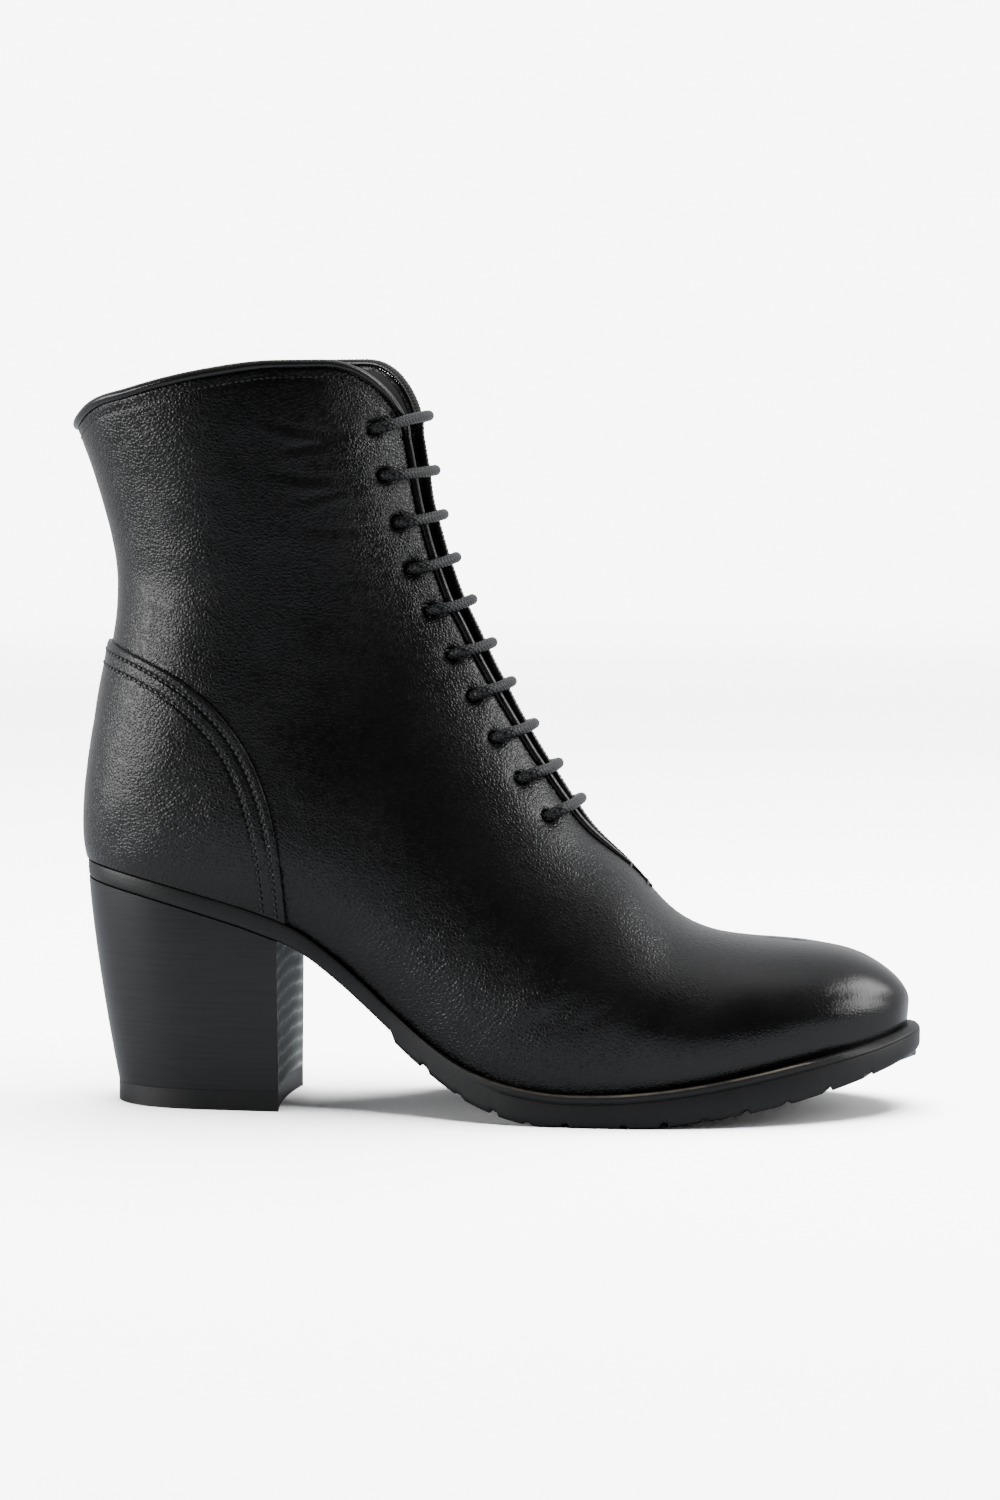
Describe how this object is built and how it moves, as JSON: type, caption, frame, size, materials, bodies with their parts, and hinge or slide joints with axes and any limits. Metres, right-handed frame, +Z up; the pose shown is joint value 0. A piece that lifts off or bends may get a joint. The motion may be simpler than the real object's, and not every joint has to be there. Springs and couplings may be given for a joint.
{
  "type": "lace-up boot",
  "caption": "Right lace-up leather ankle boot on a tall block heel: one-piece upper with a closed throat and straight lace bars, sewn heel counter, piped collar and a thin lugged sole.",
  "frame": {"origin": "centre of the boot's bounding box, on the floor", "axes": "+X towards the toe, +Y towards the inner side of the foot, +Z up"},
  "size_m": [0.2378, 0.0832, 0.2092],
  "materials": {
    "leather": "soft semi-gloss, fine grain",
    "rolled_edge": "glossy",
    "lining": "matt",
    "sole_rubber": "matt",
    "stacked_heel": "satin, burnished",
    "waxed_cord": "waxed"
  },
  "bodies": {
    "root": {"upper": "leather", "heel_counter": "leather", "tongue": "leather", "edge_piping": "rolled_edge", "insole": "lining", "outsole": "sole_rubber", "top_piece": "sole_rubber", "heel_block": "stacked_heel", "lace_bar_01": "waxed_cord", "lace_bar_02": "waxed_cord", "lace_bar_03": "waxed_cord", "lace_bar_04": "waxed_cord", "lace_bar_05": "waxed_cord", "lace_bar_06": "waxed_cord", "lace_bar_07": "waxed_cord", "lace_bar_08": "waxed_cord", "lace_bar_09": "waxed_cord", "lace_bar_10": "waxed_cord"}
  },
  "joints": []
}
